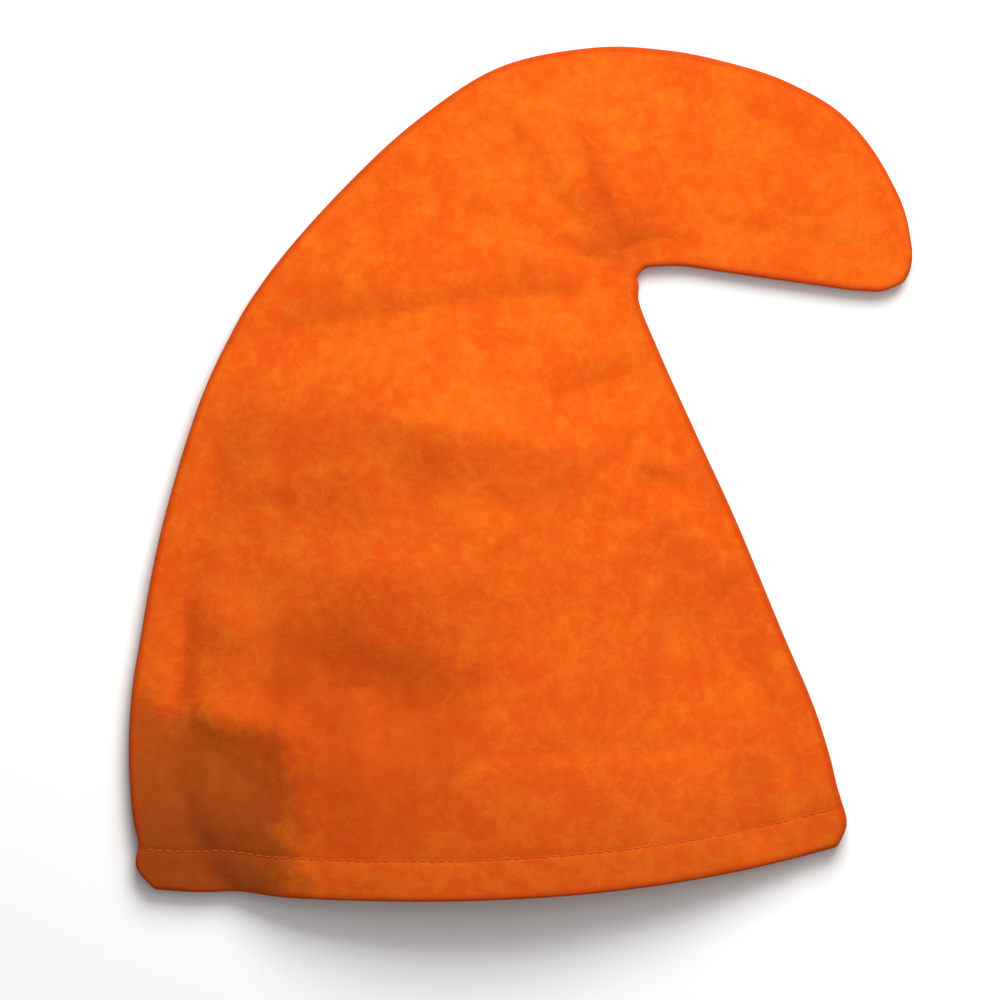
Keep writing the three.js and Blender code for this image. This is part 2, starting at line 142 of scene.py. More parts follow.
# Smaller creases that only the felt shows, each along a path of points in millimetres in the hat's
# own frame.
#   name, path, reach to the left of the path, reach to its right, rise, radius of the crest, all in mm
CREASES = [
    ("packing fold", [(-135, 31), (-81, 27), (-39, 21), (34, 9)], 36, 60, 1.5, 1.5),
    ("packing fold front", [(-66, 25), (-20, 18), (36, 9)], 20, 44, 2.0, 1.5),
    ("below the fold", [(-136, 2), (-95, -3), (-44, -9)], 30, 60, 3.4, 4),
    ("light swell", [(-124, -36), (-86, -40), (-40, -42), (8, -40)], 36, 46, 2.8, 5),
    ("fold above it", [(-111, 58), (-73, 65), (-26, 72), (34, 76), (47, 79)], 10, 16, -1.9, 1.5),
    ("line beside it", [(-88, 56), (-40, 64), (24, 71)], 4, 4, -0.6, 1),
    ("crown ridge", [(19, 196), (27, 160), (36, 128), (43, 111), (47, 90), (58, 52)], 38, 12, 3.3, 1.5),
    ("nape valley", [(-34, 115), (0, 105), (21, 96), (46, 84)], 12, 10, -2, 1.5),
    ("high nape valley", [(-21, 155), (-6, 144), (9, 124), (32, 98)], 11, 11, -1.5, 2.5),
    ("nape bump", [(-39, 131), (-4, 132)], 12, 12, 1.1, 4),
    ("low nape bump", [(-11, 94), (11, 91)], 9, 9, 0.8, 3),
    ("corner crease", [(57, 43), (34, 38), (8, 31)], 7, 9, -1.1, 1.2),
    ("neck front hollow", [(10, 20), (28, 24), (46, 27)], 36, 26, -2.2, 6),
    ("front strip", [(50, 62), (56, 32), (60, 6)], 9, 5, 1.9, 2),
    ("front step", [(50, 8), (59, 5), (74, 0)], 30, 14, 2.8, 2),
    ("front crease", [(40, 6), (62, 4), (86, -5)], 13, 22, 2.7, 2),
    ("front fold", [(48, -14), (66, -20), (82, -30), (99, -48)], 17, 34, 3.4, 4),
    ("front hollow", [(54, -66), (80, -70), (108, -84)], 40, 80, -3.8, 8),
    ("front seam hollow", [(99, -76), (104, -93), (107, -108)], 9, 9, -1.6, 3),
    ("front hem pleat", [(96, -132), (99, -160)], 6, 6, -1.3, 2),
    ("outer front hem pleat", [(117, -118), (123, -155)], 7, 7, -1.6, 2.5),
    ("long low line", [(-28, -121), (34, -120), (95, -118)], 12, 6, -0.9, 1),
    ("back seam hollow", [(-141, -53), (-145, -80), (-149, -107)], 9, 8, -1.8, 2.5),
    ("back bump", [(-129, -60), (-117, -74)], 13, 13, 1.4, 4),
    ("back fold", [(-141, -99), (-118, -107), (-94, -116)], 14, 30, 3, 3),
    ("fan streak", [(-142, -158), (-135, -138), (-131, -119)], 4, 4, 1.3, 1.2),
    ("second fan streak", [(-135, -158), (-125, -142), (-119, -130)], 4.5, 4.5, 1.3, 1.2),
    ("third fan streak", [(-150, -158), (-154, -140), (-155, -125)], 5, 5, 1.2, 1.3),
    ("belly swell", [(-108, -108), (-85, -110), (-58, -112)], 42, 42, 3.0, 10),
    ("belly dent", [(-99, -85), (-89, -107), (-75, -118)], 11, 11, -1.1, 3),
    ("belly dent two", [(-85, -77), (-81, -97)], 8, 8, -0.8, 2),
    ("small dent", [(-75, -93), (-63, -91)], 5, 5, -0.6, 1.5),
    ("small dent two", [(-53, -84), (-47, -105)], 6, 6, -0.7, 2),
    ("belly edge", [(-77, -71), (-43, -76), (-21, -93)], 14, 24, 1.6, 4),
    ("back arc", [(-126, -17), (-111, -13), (-94, -20), (-81, -34)], 6, 6, -0.5, 1.5),
    ("back arc two", [(-121, -28), (-104, -25), (-89, -38)], 5, 5, -0.4, 1.5),
    ("back arc three", [(-135, -12), (-126, -0), (-111, 6)], 10, 8, -1, 2.5),
    ("low edge of the light", [(-139, -54), (-94, -62), (-20, -70)], 38, 62, 1.3, 8),
    ("middle bump", [(-18, -19), (-8, -32)], 12, 12, 1.1, 4),
    ("middle bump two", [(-9, -10), (5, -2)], 10, 10, 0.9, 3),
    ("front streak", [(31, 20), (24, 2), (17, -21)], 5, 5, -0.6, 1.3),
    ("front streak two", [(40, 23), (35, 2), (24, -23)], 5, 5, -0.6, 1.3),
    ("front streak three", [(47, 19), (41, -4)], 5, 5, -0.5, 1.3),
    ("short crease", [(-59, 48), (-55, 37), (-54, 26)], 4, 5, -0.6, 1.2),
    ("short crease two", [(-44, 54), (-41, 38)], 4, 4, -0.4, 1.2),
    ("beak dent", [(100, 164), (98, 139), (101, 110)], 10, 10, -0.7, 3),
    ("beak bump", [(58, 152), (67, 121)], 16, 16, 0.8, 5),
    ("beak tip dent", [(153, 119), (165, 115)], 7, 7, -0.6, 2.5),
    ("low beak dent", [(120, 114), (123, 93)], 8, 8, -0.5, 2.5),
    ("beak root rise", [(26, 97), (48, 95), (78, 95)], 40, 26, 2.0, 9),
    ("beak root hollow", [(55, 96), (87, 95)], 7, 5, -0.7, 2),
]


def linear_colour(hex_value):
    """An sRGB hex colour as linear red, green, blue and alpha."""
    channels = [int(hex_value[i : i + 2], 16) / 255 for i in (0, 2, 4)]
    linear = [c / 12.92 if c <= 0.04045 else ((c + 0.055) / 1.055) ** 2.4 for c in channels]
    return (*linear, 1.0)


def smoothstep(value, low, high):
    share = np.clip((value - low) / (high - low), 0.0, 1.0)
    return share * share * (3.0 - 2.0 * share)


# The hat's plan


def outline_point(shares, reach_ahead):
    """Millimetres from the inner corner for a pair of shares."""
    x, y = shares
    return (
        x * (BACK_RUN if x < 0 else reach_ahead),
        y * (BODY_HEIGHT if y < 0 else CROWN_RISE),
    )


def corner_point(turn):
    angle = math.radians(turn)
    return CORNER_RADIUS * (1 + math.cos(angle)), CORNER_RADIUS * math.sin(angle)


def lifted(from_seam):
    """Share of a seam's lift at a distance in from it. The sewn edge itself curls down a little."""
    curl = EDGE_CURL * np.exp(-((from_seam / CURL_WIDTH) ** 2))
    return np.clip(1 - from_seam / LIFT_REACH, 0, 1) ** 2 - curl


class HatPlan:
    """The outline, domes and folds of the hat, as smooth functions of its sections."""

    def __init__(self, shape):
        self.shape = shape
        rows = []
        for name, back, front, loft, *rest in BODY_SECTIONS:
            rows.append((back, outline_point(front, FRONT_RUN), loft * shape.body_loft / MM, *rest))
        for name, back, turn, loft, *rest in CORNER_SECTIONS:
            rows.append((back, corner_point(turn), loft * shape.body_loft / MM, *rest))
        for name, back, front, loft, *rest in BEAK_SECTIONS:
            rows.append((back, outline_point(front, BEAK_REACH), loft * shape.beak_loft / MM, *rest))
        channels = []
        for back, front, loft, back_lift, front_lift, bow in rows:
            bx, by = outline_point(back, BEAK_REACH)
            channels.append(
                (bx, by, *front, loft, back_lift * SEAM_LIFT, front_lift * SEAM_LIFT, bow * HEM_BOW)
            )
        self.knots = np.array(channels)
        middles = (self.knots[:, 0:2] + self.knots[:, 2:4]) / 2
        steps = np.linalg.norm(np.diff(middles, axis=0), axis=1)
        self.along = np.concatenate([[0.0], np.cumsum(steps)])
        self.length = self.along[-1]
        gaps = np.diff(self.along)[:, None]
        rises = np.diff(self.knots, axis=0) / gaps
        self.slopes = np.empty_like(self.knots)
        self.slopes[0], self.slopes[-1] = rises[0], rises[-1]
        self.slopes[1:-1] = (rises[:-1] * gaps[1:] + rises[1:] * gaps[:-1]) / (gaps[1:] + gaps[:-1])
        self.offset = plan_offset(self)

    def sections(self, along):
        """The sections at distances along the hat, as one dict of columns."""
        index = np.clip(np.searchsorted(self.along, along, side="right") - 1, 0, len(self.along) - 2)
        span = (self.along[index + 1] - self.along[index])[:, None]
        t = (along - self.along[index])[:, None] / span
        made = (
            self.knots[index] * (1 + 2 * t) * (1 - t) ** 2
            + self.knots[index + 1] * (3 - 2 * t) * t**2
            + self.slopes[index] * span * t * (1 - t) ** 2
            - self.slopes[index + 1] * span * (1 - t) * t**2
        )
        names = ("back_x", "back_y", "front_x", "front_y", "loft", "back_lift", "front_lift", "bow")
        section = {name: made[:, i : i + 1] for i, name in enumerate(names)}
        section["along"] = np.asarray(along)[:, None]
        section["width"] = np.hypot(
            section["front_x"] - section["back_x"], section["front_y"] - section["back_y"]
        )
        section["margin"] = np.minimum(self.shape.seam_margin / MM, section["width"] / 4)
        return section

    def place(self, section, from_back):
        """Plan positions at distances in from the back edge."""
        share = from_back / section["width"]
        curve = 4 * share * (1 - share) * (1 + HEM_SKEW * (2 * share - 1))
        wave = HEM_WAVE / HEM_BOW * np.exp(-(((share - 0.125) / 0.04) ** 2))
        bow = section["bow"] * (curve - wave)
        run_x = (section["front_x"] - section["back_x"]) / section["width"]
        run_y = (section["front_y"] - section["back_y"]) / section["width"]
        x = section["back_x"] + run_x * from_back + run_y * bow
        y = section["back_y"] + run_y * from_back - run_x * bow
        return x, y

    def underside(self, section, from_back):
        """Height of the lower panel's underside: flat in the middle, lifted at the seams."""
        width = section["width"]
        back = (1 - from_back / width) * lifted(from_back)
        front = (from_back / width) * lifted(width - from_back)
        return section["back_lift"] * back + section["front_lift"] * front

    def past_hem(self, along):
        """0 on the hem, and 1 from where its thickness no longer lifts the upper panel."""
        hem_depth = self.shape.hem_depth / MM
        return smoothstep(along, hem_depth, 4 * hem_depth)

    def stack(self, along):
        """Height between the panels' outer faces at a seam: four layers of felt, and six at the hem."""
        felt = self.shape.felt / MM
        return 4 * felt + 2 * felt * (1 - self.past_hem(along)) + self.shape.layer_gap / MM

    def top(self, section, from_back):
        """Height of the upper panel's outer face, with its folds and creases."""
        shape = self.shape
        along = section["along"]
        open_width = section["width"] - 2 * section["margin"]
        inside = np.clip(from_back - section["margin"], 0, open_width)
        from_margin = np.minimum(inside, open_width - inside)
        shoulder = np.minimum(shape.shoulder / MM, 0.22 * open_width)
        # The panel starts to rise a little inside the seam, and gently.
        lead = 0.3 * section["margin"]
        span = section["width"] - 2 * lead
        past_seam = np.clip(from_back - lead, 0, span)
        rise = np.sin(np.pi * past_seam / span)
        gentle = smoothstep(np.minimum(past_seam, span - past_seam), 0, GENTLE_RISE)
        dome = np.maximum(0, section["loft"]) * rise * (0.55 + 0.45 * rise) * (0.35 + 0.65 * gentle)
        before_tip = smoothstep(self.length - along, section["margin"], TIP_RISE)
        hollow = np.sin(np.pi * np.minimum(1, from_margin / (2 * shoulder))) ** 2
        hollow = hollow * shape.shoulder_depth / MM
        off_seam = smoothstep(from_margin, -0.8 * section["margin"], 1.5 * shoulder)
        x, y = self.place(section, from_back)
        folds = self.folds(x, y) * off_seam
        near_seam = smoothstep(from_margin, -0.5 * section["margin"], shoulder)
        creases = self.creases(x, y) * near_seam * shape.crease_strength
        ripple = self.ripple(x, y) * smoothstep(from_margin, -0.3 * section["margin"], 2 * shoulder)
        loose = dome + (folds - hollow + creases + ripple) * before_tip
        # A deep fold eases off just above the layers under it, and the panel never sinks into them.
        eased = np.where(loose > 1.0, loose, np.exp(np.minimum(loose, 1.0) - 1.0))
        return self.underside(section, from_back) + self.stack(along) + eased - EASE

    def folds(self, x, y):
        """The CAD's folds and dents, each a rounded rise or hollow along its line."""
        height = np.zeros_like(x)
        for name, start, end, reach, rise in FOLDS:
            fx, fy = outline_point(start, FRONT_RUN if start[1] < 0 else BEAK_REACH)
            tx, ty = outline_point(end, FRONT_RUN if end[1] < 0 else BEAK_REACH)
            run = (tx - fx) ** 2 + (ty - fy) ** 2
            share = np.clip(((x - fx) * (tx - fx) + (y - fy) * (ty - fy)) / run, 0, 1)
            away = np.hypot(x - fx - share * (tx - fx), y - fy - share * (ty - fy)) / reach
            height += np.where(away < 1, rise * np.cos(np.pi / 2 * np.minimum(away, 1)) ** 2, 0)
        return height

    def creases(self, x, y):
        """Creases with a crest along a path, each side falling away over its own reach."""
        x = x + self.offset[0] / MM
        y = y + self.offset[1] / MM
        height = np.zeros_like(x)
        for name, path, left, right, rise, crest in CREASES:
            points = np.array(path, float)
            steps = np.linalg.norm(np.diff(points, axis=0), axis=1)
            nearest = np.full_like(x, np.inf)
            reach = np.ones_like(x)
            place = np.zeros_like(x)
            for i, step in enumerate(steps):
                run = (points[i + 1] - points[i]) / step
                ahead = np.clip((x - points[i, 0]) * run[0] + (y - points[i, 1]) * run[1], 0, step)
                dx = x - points[i, 0] - run[0] * ahead
                dy = y - points[i, 1] - run[1] * ahead
                away = np.hypot(dx, dy)
                closer = away < nearest
                side = np.where(run[0] * dy - run[1] * dx > 0, left, right)
                nearest = np.where(closer, away, nearest)
                reach = np.where(closer, side, reach)
                place = np.where(closer, (steps[:i].sum() + ahead) / steps.sum(), place)
            rounded = np.sqrt(nearest**2 + crest**2) - crest
            fade = smoothstep(place, 0.0, 0.22) * smoothstep(1 - place, 0.0, 0.22)
            if len(points) == 2:
                fade = np.sqrt(fade)
            height += rise * fade * np.clip(1 - rounded / reach, 0, 1) ** 2
        return height

    def ripple(self, x, y):
        """Slow uneven swells in the felt."""
        height = np.empty_like(x)
        flat = height.ravel()
        for i, (px, py) in enumerate(zip(x.ravel(), y.ravel())):
            slow = noise.noise(Vector((px / 42, py / 42, 3.1)))
            quick = noise.noise(Vector((px / 13, py / 13, 7.7)))
            flat[i] = 0.9 * slow + 0.28 * quick
        return height


def plan_offset(plan):
    """Moves the inner corner's own axes to the CAD's, by matching the two outlines' boxes."""
    section = plan.sections(np.linspace(0, plan.length, 400))
    shares = np.linspace(0, 1, 40)[None, :]
    x, y = plan.place(section, shares * section["width"])
    low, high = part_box(LOWER_NODE)
    return (
        (low.x + high.x) / 2 - (x.min() + x.max()) / 2 * MM,
        (low.y + high.y) / 2 - (y.min() + y.max()) / 2 * MM,
    )


# Felt panels


def fold_rows(hem_depth, length):
    """Rows of a panel from the turned-up hem to the felt turned in at the tip.

    Each row is (kind, distance from its edge, angle of the fold)."""
    angles = [math.pi * i / 6 for i in range(7)]
    rows = [("turned", hem_depth * share, math.pi) for share in (1, 0.86, 0.72, 0.58, 0.45, 0.33, 0.24)]
    rows += [("hem fold", 0.0, angle) for angle in reversed(angles)]
    rows += [("panel", distance, 0.0) for distance in FINE_ROWS]
    fine_end = FINE_ROWS[-1]
    count = round((length - fine_end - TIP_START) / ROW_PITCH)
    pitch = (length - fine_end - TIP_START) / count
    rows += [("panel", fine_end + pitch * (i + 1), 0.0) for i in range(count)]
    rows += [("tip fold", 0.0, angle) for angle in angles]
    rows += [("tip turned", distance, math.pi) for distance in (TIP_START, 6.0, 8.0)]
    return rows


def felt_grid(plan, upper):
    """Positions of a panel's middle surface as a grid, and which of its corners are cut away."""
    shape = plan.shape
    felt = shape.felt / MM
    hem_depth = shape.hem_depth / MM
    bend = felt / 2 + 0.02
    rows = fold_rows(hem_depth, plan.length)
    kinds = np.array([kind for kind, _, _ in rows])
    distances = np.array([distance for _, distance, _ in rows])
    turns = np.array([turn for _, _, turn in rows])[:, None]

    # Columns: the margin turned in, its fold, the edge, the open panel, and the same again mirrored.
    margin_shares = np.array([1, 0.75, 0.5, 0.28, 0.12])
    angles = np.pi * np.arange(6, -1, -1) / 6
    edge_shares = np.array([0.1, 0.22, 0.36, 0.5, 0.66, 0.83])
    half_count = len(margin_shares) + len(angles) + len(edge_shares)
    column_count = 2 * half_count + OPEN_COLUMNS + 1

    # Where each row lies along the hat. The fold rows are put right further down.
    on_hem = (kinds == "turned") | (kinds == "hem fold")
    on_tip = (kinds == "tip fold") | (kinds == "tip turned")
    along = np.where(on_tip, plan.length - distances, distances)
    section = plan.sections(np.clip(along, 0, plan.length))
    width, margin = section["width"], section["margin"]
    start = bend + felt / 2
    half = np.concatenate(
        [
            start + margin_shares * (margin - start),
            start - bend * np.sin(angles) * np.ones_like(margin),
            start + edge_shares * (margin - start),
        ],
        axis=1,
    )
    middle = margin + np.linspace(0, 1, OPEN_COLUMNS + 1)[None, :] * (width - 2 * margin)
    from_back = np.concatenate([half, middle, width - half[:, ::-1]], axis=1)
    side_depth = np.concatenate(
        [np.full(len(margin_shares), 2 * bend), bend * (1 - np.cos(angles)), np.zeros(len(edge_shares))]
    )
    depth = np.concatenate([side_depth, np.zeros(OPEN_COLUMNS + 1), side_depth[::-1]])[None, :]
    from_seam = np.minimum(from_back, width - from_back)

    # The hem is turned up over the margins too, so its fold is wider there.
    over_margin = 1 - smoothstep(from_seam, margin, margin + 4.0)
    hem_centre = bend * (1 + over_margin)
    hem_radius = np.maximum(hem_centre - depth, 0.2 * bend)
    hem_along = hem_centre + felt / 2 - hem_radius * np.sin(turns)
    tip_radius = np.maximum(2 * bend - depth, 0.2 * bend)
    tip_along = plan.length - (2 * bend + felt / 2 - tip_radius * np.sin(turns))
    is_hem_fold = (kinds == "hem fold")[:, None]
    is_tip_fold = (kinds == "tip fold")[:, None]
    along_all = np.broadcast_to(along[:, None], from_back.shape).copy()
    along_all = np.where(is_hem_fold, hem_along, along_all)
    along_all = np.where(is_tip_fold, tip_along, along_all)
    turned = depth + hem_radius * (1 - np.cos(turns))
    tip_turned = depth + tip_radius * (1 - np.cos(turns))
    depth_all = np.broadcast_to(depth, from_back.shape)
    depth_all = np.where(on_hem[:, None], turned, depth_all)
    depth_all = np.where(on_tip[:, None], tip_turned, depth_all)

    # Above the hem the panels lie apart by its thickness, and the felt turned in at the seams is loose
    # enough to fill that.
    above_hem = smoothstep(along_all, hem_depth + 0.5, hem_depth + 5.5)
    loosened = felt * (1 - plan.past_hem(along_all)) * above_hem
    depth_all = depth_all * (1 + loosened / (2 * bend))

    # Each point again at its own distance along the hat, with its own section.
    flat_section = plan.sections(along_all.ravel())
    spread = from_back / width
    flat_from_back = from_back.ravel()[:, None]
    mirrored = (spread > 0.5).ravel()[:, None]
    gap_front = (width - from_back).ravel()[:, None]
    flat_from_back = np.where(mirrored, flat_section["width"] - gap_front, flat_from_back)
    in_middle = (np.broadcast_to(depth, from_back.shape) == 0).ravel()[:, None]
    inside = ((from_back - margin) / (width - 2 * margin)).ravel()[:, None]
    stretched = flat_section["margin"] + inside * (flat_section["width"] - 2 * flat_section["margin"])
    on_open = in_middle & (inside > 0) & (inside < 1)
    flat_from_back = np.where(on_open, stretched, flat_from_back)
    x, y = plan.place(flat_section, flat_from_back)
    if upper:
        from_stitches = flat_section["along"] - shape.stitch_line / MM
        groove = shape.stitch_groove / MM * np.exp(-((from_stitches / 1.5) ** 2))
        z = plan.top(flat_section, flat_from_back) - groove
        z = z - felt / 2 - depth_all.reshape(-1, 1)
    else:
        z = plan.underside(flat_section, flat_from_back) + felt / 2 + depth_all.reshape(-1, 1)
    points = np.concatenate([x, y, z], axis=1).reshape(len(rows), column_count, 3)

    # Where the hem is turned up, the margins are trimmed away to keep the corner thin.
    cut_columns = np.zeros(column_count, bool)
    cut_columns[:TRIMMED_COLUMNS] = True
    cut_columns[-TRIMMED_COLUMNS:] = True
    cut = (on_hem | (kinds == "tip turned"))[:, None] & cut_columns[None, :]

    # Distance from the nearest edge, which the painted shade along the edges follows.
    width_all = flat_section["width"]
    from_edge = np.minimum(flat_from_back, width_all - flat_from_back)
    from_edge = np.minimum(from_edge, flat_section["along"])
    from_edge = np.minimum(from_edge, plan.length - flat_section["along"])
    return points, cut, from_edge.reshape(len(rows), column_count)


def new_object(name, mesh):
    made = bpy.data.objects.new(name, mesh)
    bpy.context.scene.collection.objects.link(made)
    return made


def mesh_from(bm, name, smooth=True):
    mesh = bpy.data.meshes.new(name)
    bm.to_mesh(mesh)
    bm.free()
    for polygon in mesh.polygons:
        polygon.use_smooth = smooth
    return mesh


def felt_panel(name, plan, upper, offset):
    """One felt panel as a grid laid over the plan, with its margins and its hem turned in."""
    points, cut, from_edge = felt_grid(plan, upper)
    row_count, column_count = points.shape[:2]
    bm = bmesh.new()
    bmesh.ops.create_grid(bm, x_segments=column_count - 1, y_segments=row_count - 1, size=1.0)
    edge = bm.verts.layers.float.new(EDGE_ATTRIBUTE)
    spare = []
    for vert in bm.verts:
        column = round((vert.co.x + 1) / 2 * (column_count - 1))
        row = round((vert.co.y + 1) / 2 * (row_count - 1))
        x, y, z = points[row, column] * MM
        vert.co = (x + offset[0], y + offset[1], z)
        vert[edge] = from_edge[row, column]
        if cut[row, column]:
            spare.append(vert)
    bmesh.ops.delete(bm, geom=spare, context="VERTS")
    if not upper:
        bmesh.ops.reverse_faces(bm, faces=bm.faces)
    panel = new_object(name, mesh_from(bm, name))
    wall = panel.modifiers.new("Felt thickness", "SOLIDIFY")
    wall.thickness = plan.shape.felt
    wall.offset = 0.0
    return panel


# Thread


def add_stitches(bm, places, length, radius):
    """Stitches at (centre, along, up) places: short round bars whose ends dive into the felt."""
    ball = bmesh.new()
    bmesh.ops.create_uvsphere(ball, u_segments=8, v_segments=6, radius=1.0)
    stitch = mesh_from(ball, "stitch")
    size = Matrix.Diagonal((radius, radius, length / 2, 1.0))
    for centre, along, up in places:
        side = up.cross(along).normalized()
        turn = Matrix((side, up, along)).transposed().to_4x4()
        placed = stitch.copy()
        placed.transform(Matrix.Translation(centre) @ turn @ size)
        bm.from_mesh(placed)
        bpy.data.meshes.remove(placed)
    bpy.data.meshes.remove(stitch)


def walk(points, pitch):
    """Even steps along a row of points: (point, direction) pairs."""
    steps = np.linalg.norm(np.diff(points, axis=0), axis=1)
    run = np.concatenate([[0.0], np.cumsum(steps)])
    count = int(run[-1] // pitch)
    places = (np.arange(count) + 0.5) * run[-1] / count
    made = []
    for place in places:
        at = [np.interp(place, run, points[:, i]) for i in range(3)]
        before = [np.interp(place - pitch / 3, run, points[:, i]) for i in range(3)]
        after = [np.interp(place + pitch / 3, run, points[:, i]) for i in range(3)]
        made.append((Vector(at), (Vector(after) - Vector(before)).normalized()))
    return made


def hem_line(plan, upper, offset, count=260):
    """Points of the stitch line on a panel's outer face, in metres."""
    shape = plan.shape
    section = plan.sections(np.full(count, shape.stitch_line / MM))
    share = np.linspace(0, 1, count)[:, None]
    end_gap = 3.0
    from_back = end_gap + share * (section["width"] - 2 * end_gap)
    x, y = plan.place(section, from_back)
    if upper:
        z = plan.top(section, from_back) - shape.stitch_groove / MM
    else:
        z = plan.underside(section, from_back)
    line = np.concatenate([x, y, z], axis=1) * MM
    line[:, 0] += offset[0]
    line[:, 1] += offset[1]
    return line


def seam_line(plan, offset, count=900):
    """Points of the sewn seam between the panels, from the back of the rim round to its front."""
    end_gap = 2.0
    section = plan.sections(np.linspace(end_gap, plan.length - end_gap, count))
    sides = []
    for from_back in (np.full_like(section["width"], SEAM_INSET), section["width"] - SEAM_INSET):
        x, y = plan.place(section, from_back)
        z = plan.underside(section, from_back) + plan.stack(section["along"]) / 2
        sides.append(np.concatenate([x, y, z], axis=1))
    line = np.concatenate([sides[0], sides[1][::-1]]) * MM
    line[:, 0] += offset[0]
    line[:, 1] += offset[1]
    return line


# Materials


def add_node(tree, kind, settings=None, inputs=None, links=None):
    """Adds a node. settings are its own values, inputs fill its sockets, and links join sockets to it."""
    node = tree.nodes.new(kind)
    for name, value in (settings or {}).items():
        setattr(node, name, value)
    for name, value in (inputs or {}).items():
        node.inputs[name].default_value = value
    for name, socket in (links or {}).items():
        tree.links.new(socket, node.inputs[name])
    return node


def per_metre(size_mm):
    """The scale that makes a noise pattern's grain this many millimetres."""
    return 1000.0 / size_mm


